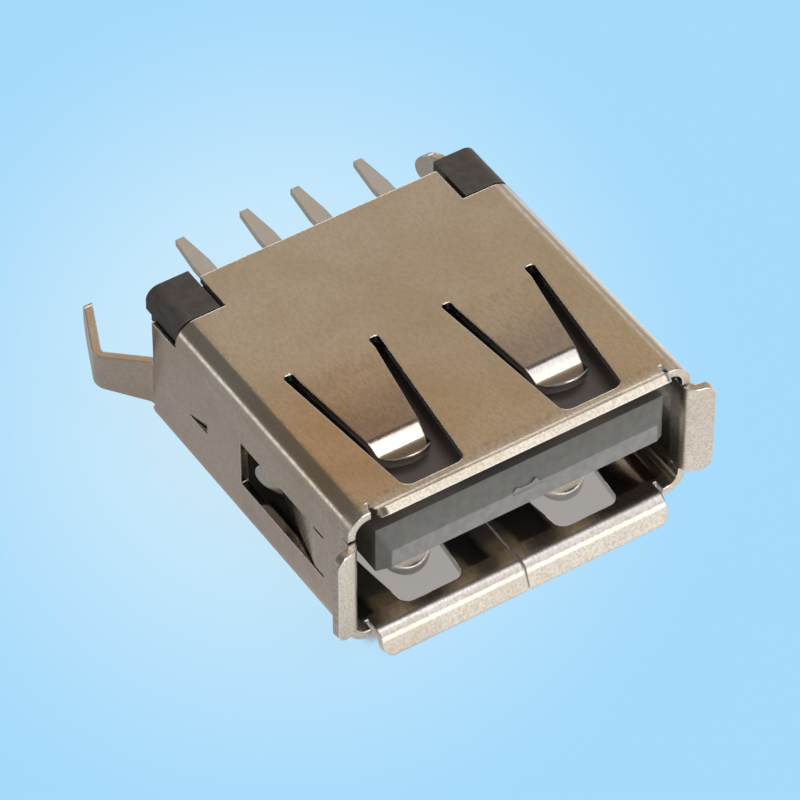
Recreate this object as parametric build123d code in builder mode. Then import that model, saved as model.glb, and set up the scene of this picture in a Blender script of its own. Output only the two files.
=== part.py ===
from build123d import *

import os

os.makedirs("parts", exist_ok=True)

# A straight through-hole USB-A receptacle, in millimetres. The origin is the middle of the plug
# opening, in the mouth plane. The mouth faces -Y, the solder side +Y, and the contacts hang
# under the tongue, so +Z is the side away from the seam of the shell.

# Plug opening and the sheet that is folded round it
opening_width = 12.50
opening_height = 5.12
sheet = 0.30
fold_radius = 0.50
shell_length = 12.15
seam_gap = 0.07

# Lips flared out of the mouth. A lip starts where the rounded corners of the mouth end.
lip_root = 0.34
top_lip_root = 0.54
side_lip_width = 3.75
side_lip_angle = 80
side_lip_bend = 0.22
side_lip_run = 0.55
top_lip_angle = 46
top_lip_bend = 0.55
top_lip_run = 0.27
floor_lip_angle = 68
floor_lip_bend = 0.25
floor_lip_run = 0.60
lip_corner = 0.40
lip_lead = 0.04
lip_inset = 0.72
ring_front = 0.22
relief_width = 0.14
side_relief_width = 0.08
relief_end = 0.62

# Spring fingers of the top and the floor, one pair in each. They are rooted behind and point
# at the mouth. They stop just short of the tongue.
finger_offset = 3.02
finger_root = 6.75
finger_root_width = 2.86
finger_crest = 2.50
finger_crest_width = 1.78
finger_tip = 1.67
finger_tip_width = 1.60
finger_nose = 0.40
finger_flat = 0.45
finger_sag = 0.26
finger_steep = 0.58
finger_tip_rise = 0.48
finger_bend = 0.22
finger_clearance = 0.10
window_front = 0.56
window_front_width = 2.30
window_rear_width = 3.66
window_corner = 0.40
slot_corner = 0.14

# Side springs, one in each wall, rooted at the mouth and pointing back
side_window_front = 1.65
side_window_rear = 6.65
side_window_height = 1.92
side_slit = 0.14
side_finger_length = 4.40
side_finger_tip_height = 1.10
side_finger_crest = 3.50
side_finger_start = 0.50
side_finger_tip_depth = 0.06
side_finger_bend = 0.35
side_finger_clearance = 0.08

# Rear corners cut out of the top for the two seating blocks
notch_inner = 4.60
notch_depth = 1.60
notch_height = 0.97
wall_set_back = 0.12

# Kinked board-lock legs, one on each wall
leg_centre = -1.00
leg_root_width = 1.84
leg_width = 1.40
leg_root = 0.30
leg_lead = 0.10
leg_kink_reach = 1.54
leg_kink_out = 1.32
leg_reach = 4.10
leg_tip_out = 0.07
leg_bend = 0.40

# Retention barbs that are pressed into the insulator
barb_lead = 0.22
barb_length = 1.12
barb_height = 0.40
barb_slit = 0.07
barb_centre = -0.22
barb_depth = 0.20

# Insulator
tongue_width = 11.00
tongue_thickness = 1.84
tongue_gap = 0.68
tongue_front = -0.10
nose_length = 0.34
nose_side = 0.42
nose_round = 0.25
nose_top = 0.90
nose_floor = 0.26
base_length = 3.10
base_sink = 0.15
base_clearance = 0.03
base_corner = 0.45
seat_height = 0.45
block_gap = 0.18
block_inset = 0.14
block_sink = 0.02
block_corner = 0.48
foot_width = 1.50
foot_height = 1.20
groove_depth = 0.56
groove_front = 0.80
groove_clearance = 0.10

# Contacts: four blades in the spacing of the plug, kinked up to the row of solder tails
power_offset = 3.50
data_offset = 1.00
contact_thickness = 0.25
beam_width = 1.00
beam_tip = 1.10
beam_tip_lift = 0.14
beam_crest = 2.20
beam_crest_drop = 0.46
beam_level = 0.14
beam_rear = 5.20
riser_inset = 0.70
riser_length = 0.65
tail_height = 1.34
tail_width = 0.62
tail_tip_width = 0.32
tail_taper = 1.40
tail_length = 2.70
contact_bend = 0.30
contact_clearance = 0.02

contact_places = {
    "contact_power": power_offset,
    "contact_data_minus": data_offset,
    "contact_data_plus": -data_offset,
    "contact_ground": -power_offset,
}

base_rear = shell_length - base_sink
base_front = base_rear - base_length
barb_front = base_front - barb_lead
seat = shell_length + seat_height
riser_front = base_front + riser_inset
riser_rear = riser_front + riser_length
tail_end = seat + tail_length
half_width = opening_width / 2 + sheet
half_height = opening_height / 2 + sheet
tongue_top = opening_height / 2 - tongue_gap
tongue_floor = tongue_top - tongue_thickness

# Each wall has a plane of its own in the middle of its sheet: local x runs out of the mouth and
# local y points away from the shell. Strips are traced along the middle of the sheet.
middle_width = half_width - sheet / 2
middle_height = half_height - sheet / 2
top_wall = Plane(origin=(0, 0, middle_height), x_dir=(0, -1, 0), z_dir=(-1, 0, 0))
floor_wall = Plane(origin=(0, 0, -middle_height), x_dir=(0, -1, 0), z_dir=(1, 0, 0))
right_wall = Plane(origin=(middle_width, 0, 0), x_dir=(0, -1, 0), z_dir=(0, 0, 1))


def lip(wall, root, width, angle, bend, run):
    """A strip that carries a wall on out of the mouth and folds it outwards."""
    with BuildPart() as strip:
        with BuildSketch(wall):
            with BuildLine():
                flat = Line((-root, 0), (lip_lead - root, 0))
                fold = JernArc(start=flat @ 1, tangent=flat % 1, radius=bend + sheet / 2, arc_size=angle)
                Line(fold @ 1, fold @ 1 + fold % 1 * run)
            trace(line_width=sheet)
        extrude(amount=width / 2, both=True)
        rim = edges().filter_by(lambda edge: abs(edge.length - sheet) < 0.01 * sheet).group_by(Axis.Y)[0]
        fillet(rim, min(lip_corner, 0.95 * run))
    return strip.part


def plate_finger():
    """The right-hand spring finger of the top: it sags, drops to a crest, and its tip turns up."""
    drop = tongue_gap - finger_clearance
    pad = finger_root - finger_flat
    tip_slope = finger_tip_rise / (finger_crest - finger_tip)
    with BuildPart() as finger:
        with BuildSketch(top_wall.offset(-finger_offset)):
            with BuildLine():
                FilletPolyline(
                    (-finger_root, 0),
                    (-pad, 0),
                    (-finger_crest - finger_steep, -finger_sag),
                    (-finger_crest, -drop),
                    (sheet - finger_tip, finger_tip_rise + sheet * tip_slope - drop),
                    radius=finger_bend,
                )
            trace(line_width=sheet)
        extrude(amount=finger_root_width, both=True)
        with BuildSketch(Plane.XY):
            with BuildLine():
                rear = Line(
                    (finger_offset - finger_root_width / 2, finger_root),
                    (finger_offset + finger_root_width / 2, finger_root),
                )
                pad_side = Line(rear @ 1, (finger_offset + finger_root_width / 2, pad))
                flank = Line(pad_side @ 1, (finger_offset + finger_crest_width / 2, finger_crest))
                tip_side = Line(
                    flank @ 1, (finger_offset + finger_tip_width / 2, finger_tip + finger_nose)
                )
                nose = ThreePointArc(
                    tip_side @ 1,
                    (finger_offset, finger_tip),
                    (finger_offset - finger_tip_width / 2, finger_tip + finger_nose),
                )
                far_tip_side = Line(nose @ 1, (finger_offset - finger_crest_width / 2, finger_crest))
                far_flank = Line(far_tip_side @ 1, (finger_offset - finger_root_width / 2, pad))
                Line(far_flank @ 1, rear @ 0)
            make_face()
        extrude(amount=opening_height, both=True, mode=Mode.INTERSECT)
    return finger.part


def side_finger():
    """The spring finger of the right wall: it bows inwards and its round tip turns back out."""
    reach = (opening_width - tongue_width) / 2 - side_finger_clearance
    root_height = side_window_height - 2 * side_slit
    tip = side_window_front + side_finger_length
    with BuildPart() as finger:
        with BuildSketch(right_wall):
            with BuildLine():
                FilletPolyline(
                    (-side_window_front + side_finger_start / 2, 0),
                    (-side_window_front - side_finger_start, 0),
                    (-side_window_front - side_finger_crest, -reach),
                    (-tip - sheet, -side_finger_tip_depth),
                    radius=side_finger_bend,
                )
            trace(line_width=sheet)
        extrude(amount=side_window_height, both=True)
        with BuildSketch(Plane.YZ):
            with BuildLine():
                shoulder = tip - side_finger_tip_height / 2
                front = Line(
                    (side_window_front - side_finger_start / 2, -root_height / 2),
                    (side_window_front - side_finger_start / 2, root_height / 2),
                )
                pad_side = Line(front @ 1, (side_window_front + side_finger_start, root_height / 2))
                flank = Line(pad_side @ 1, (shoulder, side_finger_tip_height / 2))
                nose = ThreePointArc(flank @ 1, (tip, 0), (shoulder, -side_finger_tip_height / 2))
                far_flank = Line(nose @ 1, (side_window_front + side_finger_start, -root_height / 2))
                Line(far_flank @ 1, front @ 0)
            make_face()
        extrude(amount=opening_width, both=True, mode=Mode.INTERSECT)
    return finger.part


def leg():
    """The board-lock leg of the right wall: kinked outwards, back in, and rounded at its end."""
    tip = shell_length + leg_reach
    shoulder = shell_length + leg_kink_reach
    with BuildPart() as strip:
        with BuildSketch(right_wall):
            with BuildLine():
                FilletPolyline(
                    (-shell_length + leg_root, 0),
                    (-shell_length - leg_lead, 0),
                    (-shoulder, leg_kink_out),
                    (-tip - sheet, leg_tip_out),
                    radius=leg_bend,
                )
            trace(line_width=sheet)
        extrude(amount=opening_height, both=True)
        with BuildSketch(Plane.YZ):
            with BuildLine():
                root = Line(
                    (shell_length - leg_root, leg_centre - leg_root_width / 2),
                    (shell_length - leg_root, leg_centre + leg_root_width / 2),
                )
                upper_root = Line(root @ 1, (shell_length, leg_centre + leg_root_width / 2))
                upper = Line(upper_root @ 1, (shoulder, leg_centre + leg_width / 2))
                upper_end = Line(upper @ 1, (tip - leg_width / 2, leg_centre + leg_width / 2))
                nose = ThreePointArc(
                    upper_end @ 1, (tip, leg_centre), (tip - leg_width / 2, leg_centre - leg_width / 2)
                )
                lower_end = Line(nose @ 1, (shoulder, leg_centre - leg_width / 2))
                lower = Line(lower_end @ 1, (shell_length, leg_centre - leg_root_width / 2))
                Line(lower @ 1, root @ 0)
            make_face()
        extrude(amount=opening_width, both=True, mode=Mode.INTERSECT)
    return strip.part


def barb():
    """The barb of the right wall: a short tab bent inwards, free at its front end."""
    with BuildPart() as tab:
        with BuildSketch(right_wall.offset(barb_centre)):
            with BuildLine():
                Line((-barb_front - barb_length, 0), (-barb_front - barb_slit, -barb_depth))
            trace(line_width=sheet)
        extrude(amount=barb_height / 2, both=True)
    return tab.part


top_lip_width = opening_width - 2 * lip_inset
top_lip = lip(top_wall, top_lip_root, top_lip_width, top_lip_angle, top_lip_bend, top_lip_run)
floor_lip = lip(floor_wall, lip_root, top_lip_width, floor_lip_angle, floor_lip_bend, floor_lip_run)
side_lip = lip(right_wall, lip_root, side_lip_width, side_lip_angle, side_lip_bend, side_lip_run)
top_finger = plate_finger()
floor_finger = top_finger.mirror(Plane.XY)
side_spring = side_finger()
side_barb = barb()
board_leg = leg()

# Shell: one nickel-plated sheet, folded to a box whose edges meet in a butt seam along the
# middle of the floor, with lips, springs, barbs and legs cut and bent out of the same sheet.
with BuildPart() as shell:
    with BuildSketch(Plane.XZ.offset(-ring_front)):
        RectangleRounded(2 * half_width, 2 * half_height, fold_radius + sheet)
        RectangleRounded(opening_width, opening_height, fold_radius, mode=Mode.SUBTRACT)
    extrude(amount=ring_front - shell_length)
    # The mouth: its edge stays only in the corners, and the lips start behind it
    with BuildSketch(Plane.XZ.offset(-ring_front)):
        Rectangle(top_lip_width + 2 * relief_width, 2 * half_height)
        Rectangle(2 * half_width, side_lip_width + 2 * side_relief_width)
    extrude(amount=ring_front - lip_root, mode=Mode.SUBTRACT)
    with BuildSketch(Plane.XZ.offset(-lip_root)):
        with Locations((0, half_height)):
            Rectangle(top_lip_width + 2 * relief_width, opening_height)
    extrude(amount=lip_root - top_lip_root, mode=Mode.SUBTRACT)
    # Windows round the fingers of the top and the floor
    with BuildSketch(Plane.XY):
        with BuildLine():
            pad = finger_root - finger_flat
            inner_edge = Polyline(
                (finger_offset - window_front_width / 2, window_front),
                (finger_offset - window_rear_width / 2, finger_root),
                (finger_offset - finger_root_width / 2, finger_root),
                (finger_offset - finger_root_width / 2, pad),
                (finger_offset + finger_root_width / 2, pad),
                (finger_offset + finger_root_width / 2, finger_root),
                (finger_offset + window_rear_width / 2, finger_root),
                (finger_offset + window_front_width / 2, window_front),
                close=True,
            )
        make_face()
        window_corners = vertices().group_by(Axis.Y)
        fillet(window_corners[0], window_corner)
        fillet(vertices().group_by(Axis.Y)[-1], slot_corner)
        mirror(about=Plane.YZ)
    extrude(amount=opening_height, both=True, mode=Mode.SUBTRACT)
    add(top_finger)
    add(floor_finger)
    add(top_finger.mirror(Plane.YZ))
    add(floor_finger.mirror(Plane.YZ))
    # Windows of the side springs, and the slots behind the barbs
    with BuildSketch(Plane.YZ):
        side_middle = (side_window_front + side_window_rear) / 2
        with Locations((side_middle, 0)):
            Rectangle(side_window_rear - side_window_front, side_window_height)
        with Locations((side_window_front + side_finger_start / 2, 0)):
            Rectangle(side_finger_start, side_window_height - 2 * side_slit, mode=Mode.SUBTRACT)
        with Locations((barb_front + barb_length / 2, barb_centre)):
            Rectangle(barb_length, barb_height + 2 * barb_slit)
    extrude(amount=opening_width, both=True, mode=Mode.SUBTRACT)
    add(side_spring)
    add(side_spring.mirror(Plane.YZ))
    add(side_barb)
    add(side_barb.mirror(Plane.YZ))
    # Rear corner notches of the top
    with BuildSketch(Plane.XZ.offset(-shell_length)):
        notch_width = half_width - notch_inner
        with Locations((notch_inner + notch_width / 2, half_height - notch_height / 2)):
            Rectangle(notch_width, notch_height)
        mirror(about=Plane.YZ)
    extrude(amount=notch_depth, mode=Mode.SUBTRACT)
    with BuildSketch(Plane.XZ.offset(-shell_length)):
        with Locations((half_width, 0), (-half_width, 0)):
            Rectangle(4 * sheet, opening_height - 2 * fold_radius)
    extrude(amount=wall_set_back, mode=Mode.SUBTRACT)
    # Lips, with a relief slot on each side of each lip
    add(top_lip)
    add(floor_lip)
    add(side_lip)
    add(side_lip.mirror(Plane.YZ))
    with BuildSketch(Plane.XZ.offset(-lip_root)):
        relief_middle = (top_lip_width + relief_width) / 2
        with Locations((relief_middle, 0), (-relief_middle, 0)):
            Rectangle(relief_width, 2 * half_height)
        side_relief_middle = (side_lip_width + side_relief_width) / 2
        with Locations((0, side_relief_middle), (0, -side_relief_middle)):
            Rectangle(2 * half_width, side_relief_width)
    extrude(amount=lip_root - relief_end, mode=Mode.SUBTRACT)
    # Legs
    add(board_leg)
    add(board_leg.mirror(Plane.YZ))
    # Butt seam
    with BuildSketch(Plane.XZ.offset(top_lip_width)):
        with Locations((0, -half_height)):
            Rectangle(seam_gap, opening_height)
    extrude(amount=-shell_length - top_lip_width, mode=Mode.SUBTRACT)

shell.part.label = "shell"
export_step(shell.part, "parts/shell.step")


def contact_strip(place, play):
    """The bent strip of a contact on the plane x = place, thickened all round by some play."""
    lift = tongue_floor + beam_level
    with BuildPart() as strip:
        with BuildSketch(Plane.YZ.offset(place)):
            with BuildLine():
                FilletPolyline(
                    (beam_tip, tongue_floor + beam_tip_lift),
                    (beam_crest, tongue_floor - beam_crest_drop),
                    (beam_rear, lift),
                    (riser_front, lift),
                    (riser_rear, tail_height),
                    (tail_end, tail_height),
                    radius=contact_bend,
                )
            trace(line_width=contact_thickness + 2 * play)
        extrude(amount=beam_width / 2 + play, both=True)
    return strip.part


# Contacts: stamped tin-plated blades. The beam bows down under the tongue, the tail is narrower
# and tapers to its end.
for name, place in contact_places.items():
    strip = contact_strip(place, 0)
    with BuildPart() as contact:
        add(strip)
        with BuildSketch(Plane.XY):
            with BuildLine():
                Polyline(
                    (place - beam_width / 2, beam_tip - beam_width),
                    (place + beam_width / 2, beam_tip - beam_width),
                    (place + beam_width / 2, riser_rear),
                    (place + tail_width / 2, riser_rear),
                    (place + tail_width / 2, tail_end - tail_taper),
                    (place + tail_tip_width / 2, tail_end),
                    (place - tail_tip_width / 2, tail_end),
                    (place - tail_width / 2, tail_end - tail_taper),
                    (place - tail_width / 2, riser_rear),
                    (place - beam_width / 2, riser_rear),
                    close=True,
                )
            make_face()
        extrude(amount=opening_height, both=True, mode=Mode.INTERSECT)
    contact.part.label = name
    export_step(contact.part, f"parts/{name}.step")

# Housing: one black moulding. A block closes the rear of the shell, the tongue carries the
# contacts, and blocks in the corner notches and feet below them seat on the board.
# Tongue of the housing, with a tapered nose that leads the plug in
tongue_middle = (tongue_top + tongue_floor) / 2
with BuildPart() as tongue:
    with BuildSketch(Plane.XZ.offset(-tongue_front)):
        with Locations((0, tongue_middle + (nose_floor - nose_top) / 2)):
            Rectangle(tongue_width - 2 * nose_side, tongue_thickness - nose_floor - nose_top)
    with BuildSketch(Plane.XZ.offset(-tongue_front - nose_length)):
        with Locations((0, tongue_middle)):
            Rectangle(tongue_width, tongue_thickness)
    loft()
    slanted = edges().filter_by(Axis.X, reverse=True).filter_by(Axis.Z, reverse=True)
    fillet(slanted.group_by(Axis.Z)[-1], nose_round)
    with BuildSketch(Plane.XZ.offset(-base_front)):
        with Locations((0, tongue_middle)):
            Rectangle(tongue_width, tongue_thickness)
    extrude(amount=base_front - tongue_front - nose_length)

contact_channels = [contact_strip(place, contact_clearance) for place in contact_places.values()]
with BuildPart() as housing:
    with BuildSketch(Plane.XZ.offset(-base_front)):
        RectangleRounded(
            opening_width - 2 * base_clearance, opening_height - 2 * base_clearance, base_corner
        )
    extrude(amount=base_front - base_rear)
    # Blocks in the two notches of the shell
    with BuildSketch(Plane.XZ.offset(-seat)):
        block_left = notch_inner + block_gap
        block_right = half_width - block_inset
        block_top = half_height - block_sink
        block_foot = half_height - notch_height + block_gap / 2
        with BuildLine():
            Polyline(
                (block_left, opening_height / 2 - foot_height),
                (opening_width / 2 - base_clearance, opening_height / 2 - foot_height),
                (opening_width / 2 - base_clearance, block_foot),
                (block_right, block_foot),
                (block_right, block_top),
                (block_left, block_top),
                close=True,
            )
        make_face()
        fillet(vertices().group_by(Axis.Y)[-1].sort_by(Axis.X)[-1], block_corner)
        mirror(about=Plane.YZ)
    extrude(amount=seat - shell_length + notch_depth - block_gap / 2)
    # Feet of the lower corners
    with BuildSketch(Plane.XZ.offset(-seat)):
        foot_x = opening_width / 2 - base_clearance - foot_width / 2 - base_corner / 2
        foot_z = -opening_height / 2 + base_clearance + foot_height / 2
        with Locations((foot_x, foot_z), (-foot_x, foot_z)):
            Rectangle(foot_width, foot_height)
    extrude(amount=seat - base_rear)
    add(tongue.part)
    # Grooves under the tongue and channels through the block for the contacts
    with BuildSketch(Plane.XY.offset(tongue_floor)):
        groove_middle = (groove_front + base_front) / 2
        with Locations(*[(place, groove_middle) for place in contact_places.values()]):
            Rectangle(beam_width + 2 * groove_clearance, base_front - groove_front)
    extrude(amount=groove_depth, mode=Mode.SUBTRACT)
    add(contact_channels, mode=Mode.SUBTRACT)
    # Pockets for the barbs of the shell
    with BuildSketch(Plane.XY.offset(barb_centre)):
        pocket_length = barb_front + barb_length - base_front + barb_slit
        pocket_x = opening_width / 2 - barb_depth / 2
        pocket_middle = base_front + pocket_length / 2
        with Locations((pocket_x, pocket_middle), (-pocket_x, pocket_middle)):
            Rectangle(barb_depth + 2 * barb_slit, pocket_length)
    extrude(amount=barb_height / 2 + barb_slit, both=True, mode=Mode.SUBTRACT)

housing.part.label = "housing"
export_step(housing.part, "parts/housing.step")
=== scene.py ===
import math
import random

import bmesh
import bpy
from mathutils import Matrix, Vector


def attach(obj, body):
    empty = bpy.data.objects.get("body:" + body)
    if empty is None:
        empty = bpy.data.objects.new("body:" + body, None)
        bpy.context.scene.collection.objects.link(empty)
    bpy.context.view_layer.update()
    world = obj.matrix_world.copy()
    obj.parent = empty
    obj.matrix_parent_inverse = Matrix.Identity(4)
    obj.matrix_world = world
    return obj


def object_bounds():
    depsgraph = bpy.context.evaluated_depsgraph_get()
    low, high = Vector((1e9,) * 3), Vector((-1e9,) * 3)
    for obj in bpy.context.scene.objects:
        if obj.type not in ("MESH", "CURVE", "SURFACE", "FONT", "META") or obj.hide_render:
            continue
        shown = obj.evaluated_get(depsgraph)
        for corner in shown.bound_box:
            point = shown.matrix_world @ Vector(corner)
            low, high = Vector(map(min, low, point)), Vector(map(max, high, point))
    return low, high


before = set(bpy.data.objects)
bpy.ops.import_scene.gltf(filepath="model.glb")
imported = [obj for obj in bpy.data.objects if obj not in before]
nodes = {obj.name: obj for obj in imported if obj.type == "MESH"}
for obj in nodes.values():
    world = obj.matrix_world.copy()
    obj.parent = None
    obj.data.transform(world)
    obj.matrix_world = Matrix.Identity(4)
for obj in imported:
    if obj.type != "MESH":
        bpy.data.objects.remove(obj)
cad_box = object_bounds()

# Insulator: one black glass-filled moulding that closes the rear of the shell, carries the
# contacts under its tongue and stands on the board with its corner blocks. Plugs rub the nose of
# the tongue pale, with a painted highlight on its front face too. Painted light brightens the
# upper side of the tongue inside the shell, and the worn pale edges carry a painted highlight.
mm = 0.001


def finish_node(tree, kind, inputs=None, **settings):
    """One node of a finish. A socket is given by name or number, with a value or a socket."""
    node = tree.nodes.new(kind)
    for name, value in settings.items():
        setattr(node, name, value)
    for name, value in (inputs or {}).items():
        if isinstance(value, bpy.types.NodeSocket):
            tree.links.new(value, node.inputs[name])
        else:
            node.inputs[name].default_value = value
    return node


def reckon(tree, operation, *values):
    """The outcome of a sum with numbers."""
    inputs = dict(enumerate(values))
    return finish_node(tree, "ShaderNodeMath", inputs, operation=operation).outputs[0]


def reckon_vector(tree, operation, *values):
    """The outcomes of a sum with vectors, called Vector and Value."""
    inputs = dict(enumerate(values))
    return finish_node(tree, "ShaderNodeVectorMath", inputs, operation=operation).outputs


def graded(tree, value, start, end, first_amount=0.0, last_amount=1.0):
    """An amount that changes smoothly while a value goes from start to end, and holds past them."""
    inputs = {
        "Value": value,
        "From Min": start,
        "From Max": end,
        "To Min": first_amount,
        "To Max": last_amount,
    }
    ramp = finish_node(tree, "ShaderNodeMapRange", inputs, interpolation_type="SMOOTHSTEP")
    return ramp.outputs["Result"]


def changed_by(tree, mask, outside, inside):
    """An amount that is another one inside a mask."""
    return graded(tree, mask, 0.0, 1.0, outside, inside)


def overlap(tree, *masks):
    """The mask where several masks overlap."""
    shared = masks[0]
    for mask in masks[1:]:
        shared = reckon(tree, "MULTIPLY", shared, mask)
    return shared


def mixed_tone(tree, share, first, second, mode="MIX"):
    """A colour mixed from two, which a Mix node takes in its sockets 6 and 7."""
    inputs = {0: share, 6: first, 7: second}
    mix = finish_node(tree, "ShaderNodeMix", inputs, data_type="RGBA", blend_type=mode)
    return mix.outputs[2]


def layered_tone(tree, tone, *layers):
    """A colour with others laid over it in turn, each through a mask of its own."""
    for mask, colour, *mode in layers:
        tone = mixed_tone(tree, mask, tone, colour, *mode)
    return tone


def place_on_part(tree):
    """Where a point lies on its piece, as a vector in metres."""
    return finish_node(tree, "ShaderNodeTexCoord").outputs["Object"]


def axes_of(tree, place):
    """The X, Y and Z of a place."""
    return finish_node(tree, "ShaderNodeSeparateXYZ", {0: place}).outputs


def shared_effect(name, sockets_in, sockets_out):
    """An empty node group for several finishes: the group, what it takes and what it gives."""
    group = bpy.data.node_groups.new(name, "ShaderNodeTree")
    for label, kind, value in sockets_in:
        group.interface.new_socket(label, in_out="INPUT", socket_type=kind).default_value = value
    for label, kind in sockets_out:
        group.interface.new_socket(label, in_out="OUTPUT", socket_type=kind)
    takes = group.nodes.new("NodeGroupInput").outputs
    gives = group.nodes.new("NodeGroupOutput").inputs
    return group, takes, gives


# Edges that handling and barrel plating round off. Gives the softened normal, and a mask that is
# 1 on the edge itself.
rounded_edges, takes, gives = shared_effect(
    "rounded_edges",
    [("Radius", "NodeSocketFloat", 0.04 * mm), ("Reach", "NodeSocketFloat", 0.15)],
    [("Edge", "NodeSocketFloat"), ("Normal", "NodeSocketVector")],
)
least_turn = 0.01
bevel = finish_node(rounded_edges, "ShaderNodeBevel", {"Radius": takes["Radius"]}, samples=6)
softened = bevel.outputs["Normal"]
unsoftened = finish_node(rounded_edges, "ShaderNodeNewGeometry").outputs["Normal"]
likeness = reckon_vector(rounded_edges, "DOT_PRODUCT", softened, unsoftened)["Value"]
turn = reckon(rounded_edges, "SUBTRACT", 1.0, likeness)
edge = graded(rounded_edges, turn, least_turn, takes["Reach"])
rounded_edges.links.new(edge, gives["Edge"])
rounded_edges.links.new(softened, gives["Normal"])

# Grain and clouds of a surface: fine grain, broad clouds, and specks between them. Sizes are in
# metres and Stretch draws the grain out along the part.
surface_grain, takes, gives = shared_effect(
    "surface_grain",
    [
        ("Grain Size", "NodeSocketFloat", 0.1 * mm),
        ("Cloud Size", "NodeSocketFloat", 1.4 * mm),
        ("Stretch", "NodeSocketVector", (1.0, 1.0, 1.0)),
    ],
    [("Grain", "NodeSocketFloat"), ("Cloud", "NodeSocketFloat"), ("Speck", "NodeSocketFloat")],
)
specks_per_grain = 0.4
speck_range = (0.68, 0.80)
place = place_on_part(surface_grain)
drawn = reckon_vector(surface_grain, "MULTIPLY", place, takes["Stretch"])["Vector"]
grain_scale = reckon(surface_grain, "DIVIDE", 1.0, takes["Grain Size"])
cloud_scale = reckon(surface_grain, "DIVIDE", 1.0, takes["Cloud Size"])
speck_scale = reckon(surface_grain, "MULTIPLY", grain_scale, specks_per_grain)
for label, spread, scale, texture in (
    ("Grain", drawn, grain_scale, {"Detail": 3.0, "Roughness": 0.6}),
    ("Cloud", place, cloud_scale, {"Detail": 4.0, "Distortion": 0.4}),
    ("Speck", place, speck_scale, {"Detail": 2.0, "Roughness": 0.7}),
):
    inputs = {"Vector": spread, "Scale": scale, **texture}
    pattern = finish_node(surface_grain, "ShaderNodeTexNoise", inputs).outputs["Fac"]
    if label == "Speck":
        pattern = graded(surface_grain, pattern, *speck_range)
    surface_grain.links.new(pattern, gives[label])


def new_finish(name):
    """A material with one surface shader: the material, its tree and the shader."""
    material = bpy.data.materials.new(name)
    material.use_nodes = True
    tree = material.node_tree
    return material, tree, tree.nodes["Principled BSDF"]


def use_effect(tree, group, inputs):
    """A shared effect placed in a finish with its own values: what it gives."""
    effect = tree.nodes.new("ShaderNodeGroup")
    effect.node_tree = group
    for name, value in inputs.items():
        effect.inputs[name].default_value = value
    return effect.outputs


def lay_finish(tree, shader, tone, roughness, grain, edges, relief, relief_depth):
    """Colour, roughness and fine relief laid on a surface whose edges are rounded."""
    inputs = {
        "Height": grain["Grain"],
        "Normal": edges["Normal"],
        "Strength": relief,
        "Distance": relief_depth,
    }
    bump = finish_node(tree, "ShaderNodeBump", inputs)
    tree.links.new(tone, shader.inputs["Base Color"])
    tree.links.new(roughness, shader.inputs["Roughness"])
    tree.links.new(bump.outputs["Normal"], shader.inputs["Normal"])


grain_range = (0.3, 0.7)
# Painted light: a paler black on the tongue's upper side inside the shell, which lies in shade
painted_inside_light = (0.122, 0.104, 0.095, 1)
# Worn pale edges of the moulding, with a painted highlight on them as well
worn_and_highlit_black_edge = (0.22, 0.22, 0.21, 1)
glass_speck = (0.16, 0.16, 0.155, 1)

moulding, tree, shader = new_finish("black_moulding_finish")
edges = use_effect(tree, rounded_edges, {"Radius": 0.03 * mm, "Reach": 0.20})
grain = use_effect(tree, surface_grain, {"Grain Size": 0.06 * mm, "Cloud Size": 0.35 * mm})
axes = axes_of(tree, place_on_part(tree))
clouds = graded(tree, grain["Cloud"], 0.35, 0.65)
black = mixed_tone(tree, clouds, (0.058, 0.052, 0.048, 1), (0.078, 0.070, 0.065, 1))
rubbed = mixed_tone(tree, clouds, (0.108, 0.111, 0.103, 1), (0.130, 0.132, 0.122, 1))
# The nose's front face: rubbed pale by plugs, plus a painted highlight from the front light
chalky_and_highlit_face = mixed_tone(tree, clouds, (0.195, 0.195, 0.195, 1), (0.240, 0.238, 0.235, 1))
inside_shell = graded(tree, axes["Y"], 11 * mm, 10 * mm)
upper_side = graded(tree, axes["Z"], 1.0 * mm, 1.6 * mm)
near_nose = graded(tree, axes["Y"], 0.60 * mm, 0.25 * mm)
nose_face = graded(tree, axes["Y"], -0.07 * mm, -0.095 * mm)
tone = layered_tone(
    tree,
    black,
    (overlap(tree, inside_shell, upper_side), painted_inside_light),
    (near_nose, rubbed),
    (nose_face, chalky_and_highlit_face),
    (edges["Edge"], worn_and_highlit_black_edge),
    (grain["Speck"], glass_speck),
)
roughness = graded(tree, grain["Grain"], *grain_range, 0.38, 0.56)
lay_finish(tree, shader, tone, roughness, grain, edges, relief=0.35, relief_depth=0.012 * mm)
nodes["housing"].material_slots[0].material = moulding

# Contacts: four stamped copper-alloy blades with matt tin on them, pressed through the insulator
# from behind. The crest of each beam, where the plug wipes, is gilded.
gilding = (0.98, 0.84, 0.60, 1)
gilded_roughness = 0.80
tinned_edge = (0.72, 0.68, 0.60, 1)
drawn_tin = {"Grain Size": 0.06 * mm, "Cloud Size": 0.7 * mm, "Stretch": (1.0, 0.35, 1.0)}

tin, tree, shader = new_finish("tinned_blade_finish")
edges = use_effect(tree, rounded_edges, {"Radius": 0.03 * mm, "Reach": 0.20})
grain = use_effect(tree, surface_grain, drawn_tin)
axes = axes_of(tree, place_on_part(tree))
crest = graded(tree, axes["Y"], 3.3 * mm, 2.9 * mm)
matt_tin = mixed_tone(tree, grain["Cloud"], (0.76, 0.755, 0.73, 1), (0.64, 0.62, 0.57, 1))
tone = layered_tone(tree, matt_tin, (crest, gilding), (edges["Edge"], tinned_edge))
roughness = graded(tree, grain["Grain"], *grain_range, 0.46, 0.60)
roughness = changed_by(tree, crest, roughness, gilded_roughness)
lay_finish(tree, shader, tone, roughness, grain, edges, relief=0.3, relief_depth=0.006 * mm)
shader.inputs["Metallic"].default_value = 1.0
for name in ("contact_power", "contact_data_minus", "contact_data_plus", "contact_ground"):
    nodes[name].material_slots[0].material = tin
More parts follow.
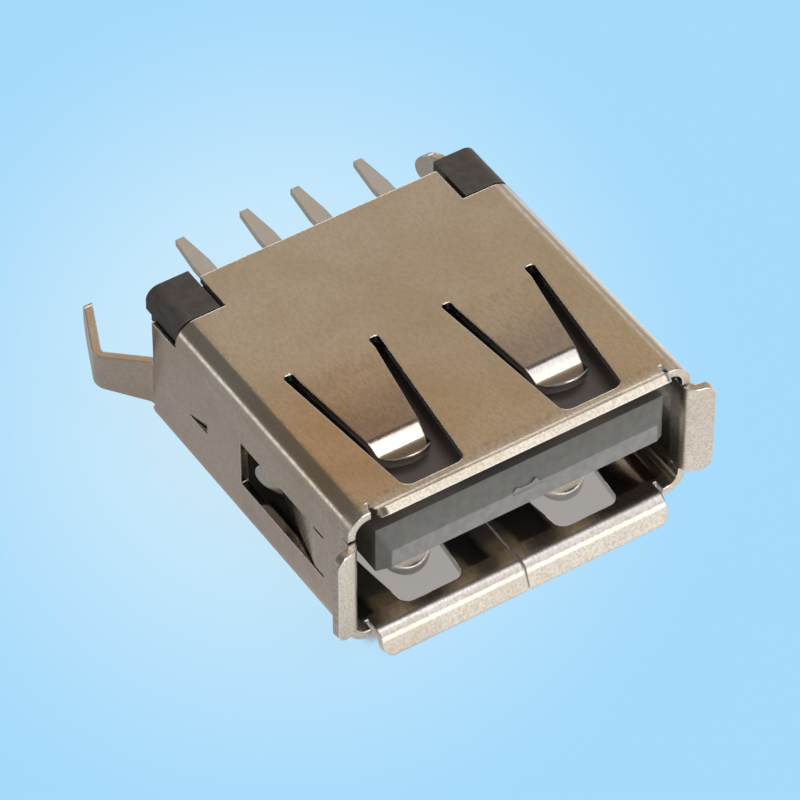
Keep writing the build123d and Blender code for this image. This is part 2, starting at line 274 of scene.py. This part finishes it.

# Shell: cold-rolled steel sheet, blanked, barrel-plated with satin nickel and folded round the
# insulator. The plating is warm and clouded, and its edges are burnished bright with a painted
# highlight on them too. Painted shade darkens the finger bends, painted reflections tint the top
# and the walls, and painted light brightens the ends of the lower fingers.
fleck = (0.48, 0.42, 0.34, 1)
dark_speck = (0.52, 0.46, 0.38, 1)
# Painted reflection tint of the top, from its rear to the mouth
rear_reflection_tint = (0.98, 1.01, 1.04, 1)
mouth_reflection_tint = (0.93, 0.90, 0.81, 1)
# Painted reflection tint of the side walls, warmer and darker
wall_reflection_tint = (0.97, 0.88, 0.84, 1)
# Painted warm reflection in the top's left front corner
painted_warm_reflection = (0.97, 0.83, 0.72, 1)
warm_reflection_middle = (-4.2 * mm, 3.4 * mm, 2.9 * mm)
# Painted shade in the bends of the fingers
painted_bend_shade = (0.74, 0.76, 0.86, 1)
# Edges burnished bright, with a painted highlight on them as well
burnished_and_highlit_edge = (0.88, 0.86, 0.83, 1)
# Scuffed finger ends, made paler with painted light where they lie in shade
scuff_and_painted_light = (0.97, 0.93, 0.86, 1)
scuff_roughness = 0.55
lip_roughness = 0.28
kept_gloss_roughness = 0.10
drawn_sheet = {"Grain Size": 0.09 * mm, "Cloud Size": 2.2 * mm, "Stretch": (1.0, 0.4, 1.0)}

nickel, tree, shader = new_finish("nickel_sheet_finish")
edges = use_effect(tree, rounded_edges, {"Radius": 0.08 * mm, "Reach": 0.16})
grain = use_effect(tree, surface_grain, drawn_sheet)
place = place_on_part(tree)
axes = axes_of(tree, place)
from_middle = reckon(tree, "ABSOLUTE", axes["X"])
from_mid_height = reckon(tree, "ABSOLUTE", axes["Z"])
between_walls = graded(tree, from_middle, 5.9 * mm, 5.7 * mm)
behind_lips = graded(tree, axes["Y"], 0.7 * mm, 0.9 * mm)
clouds = graded(tree, grain["Cloud"], 0.35, 0.68)
plating = mixed_tone(tree, clouds, (0.68, 0.64, 0.58, 1), (0.62, 0.57, 0.495, 1))
# Handling has mottled the lips most
fleck_strength = changed_by(tree, behind_lips, 0.80, 0.35)
flecks = overlap(tree, graded(tree, grain["Grain"], 0.38, 0.66), fleck_strength)
# Painted reflection: the top's tint deepens from rear to mouth, warmest in its left front corner
top_reflection_tint = mixed_tone(tree, graded(tree, axes["Y"], 12 * mm, 1 * mm), rear_reflection_tint, mouth_reflection_tint)
top = overlap(
    tree,
    graded(tree, axes["Z"], 2.48 * mm, 2.62 * mm),
    graded(tree, axes["Y"], 0.5 * mm, 0.8 * mm),
    graded(tree, from_middle, 6.6 * mm, 6.2 * mm),
)
from_warm_reflection = reckon_vector(tree, "DISTANCE", place, warm_reflection_middle)["Value"]
warm_reflection_on_top = overlap(tree, graded(tree, from_warm_reflection, 4.6 * mm, 0.8 * mm), top)
# Painted reflection tint on the side walls
walls = overlap(
    tree,
    behind_lips,
    graded(tree, axes["Y"], 14.0 * mm, 13.0 * mm),
    graded(tree, from_middle, 6.3 * mm, 6.6 * mm),
)
# Painted shade where the fingers bend
finger_bends = overlap(
    tree,
    between_walls,
    graded(tree, from_mid_height, 2.80 * mm, 2.64 * mm),
    graded(tree, from_mid_height, 2.40 * mm, 2.52 * mm),
)
# Lower finger ends: scuffed matt by plugs, with painted light; the shell's floor has kept its gloss
finger_ends = overlap(
    tree,
    between_walls,
    behind_lips,
    graded(tree, axes["Y"], 2.6 * mm, 2.3 * mm),
    graded(tree, axes["Z"], -2.46 * mm, -2.30 * mm),
    graded(tree, axes["Z"], -1.5 * mm, -1.8 * mm),
)
shell_floor = overlap(
    tree, between_walls, behind_lips, graded(tree, axes["Z"], -2.2 * mm, -2.4 * mm)
)
tone = layered_tone(
    tree,
    plating,
    (flecks, fleck),
    (grain["Speck"], dark_speck),
    (top, top_reflection_tint, "MULTIPLY"),
    (walls, wall_reflection_tint, "MULTIPLY"),
    (warm_reflection_on_top, painted_warm_reflection, "MULTIPLY"),
    (finger_bends, painted_bend_shade, "MULTIPLY"),
    (edges["Edge"], burnished_and_highlit_edge),
    (finger_ends, scuff_and_painted_light),
)
roughness = graded(tree, grain["Grain"], *grain_range, 0.14, 0.24)
roughness = changed_by(tree, behind_lips, lip_roughness, roughness)
roughness = changed_by(tree, shell_floor, roughness, kept_gloss_roughness)
roughness = changed_by(tree, finger_ends, roughness, scuff_roughness)
lay_finish(tree, shader, tone, roughness, grain, edges, relief=0.25, relief_depth=0.006 * mm)
shader.inputs["Metallic"].default_value = 1.0
nodes["shell"].material_slots[0].material = nickel

# Gate remains: a thin torn stub of the same plastic, on the upper edge of the front face of the
# tongue's nose, where the moulding was broken off its runner. Its ends stand up as small horns.
gate_outline = (
    (-0.56, 0.90),
    (-0.50, 1.06),
    (-0.42, 1.17),
    (-0.31, 1.19),
    (-0.22, 1.13),
    (0.02, 1.12),
    (0.21, 1.14),
    (0.33, 1.24),
    (0.41, 1.25),
    (0.47, 1.12),
    (0.60, 1.05),
    (0.74, 1.04),
    (0.86, 0.90),
)
stub_front = -0.10
stub_rear = 0.02
rear_raggedness = 0.03
rear_narrowing = 0.96
rear_drop = 0.02
random.seed(5)
stub = bmesh.new()
front_ring = [stub.verts.new(Vector((side, stub_front, high)) * mm) for side, high in gate_outline]
rear_ring = []
for side, high in gate_outline:
    torn = stub_rear + random.uniform(0, rear_raggedness)
    rear_ring.append(stub.verts.new(Vector((side * rear_narrowing, torn, high - rear_drop)) * mm))
stub.faces.new(front_ring)
stub.faces.new(rear_ring[::-1])
for first in range(len(gate_outline)):
    second = (first + 1) % len(gate_outline)
    stub.faces.new((front_ring[second], front_ring[first], rear_ring[first], rear_ring[second]))
bmesh.ops.recalc_face_normals(stub, faces=stub.faces)
bmesh.ops.bevel(
    stub,
    geom=stub.edges[:],
    offset=0.02 * mm,
    segments=2,
    affect="EDGES",
    profile=0.5,
    clamp_overlap=True,
)
gate_mesh = bpy.data.meshes.new("gate_remains")
stub.to_mesh(gate_mesh)
stub.free()
for polygon in gate_mesh.polygons:
    polygon.use_smooth = True
gate_remains = bpy.data.objects.new("gate_remains", gate_mesh)
bpy.context.scene.collection.objects.link(gate_remains)
gate_mesh.materials.append(moulding)
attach(gate_remains, "root")

# Studio: a plain pale blue floor that the part lies on, and soft light from the front right and
# from above. Low cards in front, beside and behind give folds and rims something to mirror, and
# the flat top mirrors a warm card high behind it on the right.
floor_width = 3.0
floor_level = cad_box[0][2]
part_middle = Vector((0.0, 6.1 * mm, 0.0))
view_turn = math.radians(-33.019)
view_height = 45.438
view_tilt = math.radians(90 - view_height)
view_foreshortening = math.sin(math.radians(view_height))
pale_blue = (0.64, 0.865, 1.0, 1)
deeper_blue = (0.392, 0.723, 1.0, 1)
glow_middle = (-1.5 * mm, 5.7 * mm, 0)
glow_reach = 15.5 * mm
shade_tone = (0.39, 0.37, 0.355, 1)
shade_half_width = 5.8 * mm
shade_softness = 0.5 * mm
real_light_share = 0.07
mirrored_white = (0.99, 0.98, 0.97, 1)
mirrored_shade = (0.22, 0.21, 0.20, 1)
mirrored_shade_share = 0.75
bright_side = (0.655, -0.757, 0.0)
brightening_range = (-5 * mm, 7 * mm)
mirrored_brightness = (0.40, 1.05)

bpy.ops.mesh.primitive_plane_add(
    size=floor_width, location=part_middle + Vector((0.0, 0.0, floor_level))
)
floor = bpy.context.object
floor.name = "floor"
floor_finish, tree, shader = new_finish("pale_blue_floor")
tree.nodes.remove(shader)
place = place_on_part(tree)
# The glow round the part is a circle in the picture, so it is longer along the view
glow = finish_node(
    tree,
    "ShaderNodeMapping",
    {
        "Vector": place,
        "Location": glow_middle,
        "Rotation": (0, 0, view_turn),
        "Scale": (glow_reach, glow_reach / view_foreshortening, 1.0),
    },
    vector_type="TEXTURE",
)
from_glow = reckon_vector(tree, "LENGTH", glow.outputs[0])["Value"]
floor_tone = mixed_tone(tree, graded(tree, from_glow, 0.10, 1.0), pale_blue, deeper_blue)
# Shade painted under the part shows through the windows of the shell
axes = axes_of(tree, place)
under_part = overlap(
    tree,
    *(
        graded(
            tree,
            reckon(tree, "ABSOLUTE", axes[axis]),
            shade_half_width,
            shade_half_width - shade_softness,
        )
        for axis in "XY"
    ),
)
floor_tone = mixed_tone(tree, under_part, floor_tone, shade_tone)
glowing = finish_node(tree, "ShaderNodeEmission", {"Color": floor_tone})
lit = finish_node(tree, "ShaderNodeBsdfDiffuse", {"Color": floor_tone})
seen_floor = finish_node(
    tree, "ShaderNodeMixShader", {0: real_light_share, 1: glowing.outputs[0], 2: lit.outputs[0]}
)
# The part mirrors a white floor, brighter towards the front right and shaded under the part
shade_mirrored = reckon(tree, "MULTIPLY", under_part, mirrored_shade_share)
mirrored_tone = mixed_tone(tree, shade_mirrored, mirrored_white, mirrored_shade)
to_bright_side = reckon_vector(tree, "DOT_PRODUCT", place, bright_side)["Value"]
brightness = graded(tree, to_bright_side, *brightening_range, *mirrored_brightness)
mirrored_floor = finish_node(
    tree, "ShaderNodeEmission", {"Color": mirrored_tone, "Strength": brightness}
)
light_path = finish_node(tree, "ShaderNodeLightPath")
floor_shader = finish_node(
    tree,
    "ShaderNodeMixShader",
    {
        0: light_path.outputs["Is Camera Ray"],
        1: mirrored_floor.outputs[0],
        2: seen_floor.outputs[0],
    },
)
tree.links.new(floor_shader.outputs[0], tree.nodes["Material Output"].inputs["Surface"])
floor.data.materials.append(floor_finish)

dim_fill = (0.180, 0.168, 0.158, 1)
world = bpy.data.worlds.new("studio")
bpy.context.scene.world = world
world.use_nodes = True
world.node_tree.nodes["Background"].inputs["Color"].default_value = dim_fill

for name, offset, size, power, colour in (
    ("key_light", (0.152, -0.22, 0.30), (0.28, 0.28), 0.36, (1.0, 0.98, 0.95)),
    ("top_light", (0.03, -0.08, 0.35), (0.16, 0.16), 0.42, (1.0, 0.99, 0.97)),
    ("front_card", (0.10, -0.30, 0.05), (0.34, 0.14), 0.38, (1.0, 0.97, 0.94)),
    ("left_card", (-0.27, 0.216, 0.05), (0.26, 0.07), 0.06, (1.0, 0.99, 0.97)),
    ("right_card", (0.27, 0.20, 0.10), (0.30, 0.20), 0.075, (1.0, 0.93, 0.90)),
    ("rear_card", (0.13, 0.31, 0.035), (0.20, 0.075), 0.075, (1.0, 0.97, 0.92)),
    ("warm_card", (0.166, 0.257, 0.257), (0.26, 0.26), 0.085, (1.0, 0.725, 0.464)),
):
    lamp_data = bpy.data.lights.new(name, "AREA")
    lamp_data.shape = "RECTANGLE"
    lamp_data.size, lamp_data.size_y = size
    lamp_data.energy = power
    lamp_data.color = colour
    lamp = bpy.data.objects.new(name, lamp_data)
    lamp.location = part_middle + Vector(offset)
    lamp.rotation_euler = Vector(offset).to_track_quat("Z", "Y").to_euler()
    lamp.visible_camera = False
    bpy.context.scene.collection.objects.link(lamp)

# The camera was fitted to the photograph through the known sizes of the opening and the contacts
camera_data = bpy.data.cameras.new("camera")
camera_data.sensor_width = 36
camera_data.lens = 256.546
camera_data.clip_start = 0.01
camera = bpy.data.objects.new("camera", camera_data)
camera.location = (-0.071659, -0.102985, 0.132253)
camera.rotation_euler = (view_tilt, 0, view_turn)
bpy.context.scene.collection.objects.link(camera)
bpy.context.scene.camera = camera
bpy.context.scene.view_settings.view_transform = "Standard"
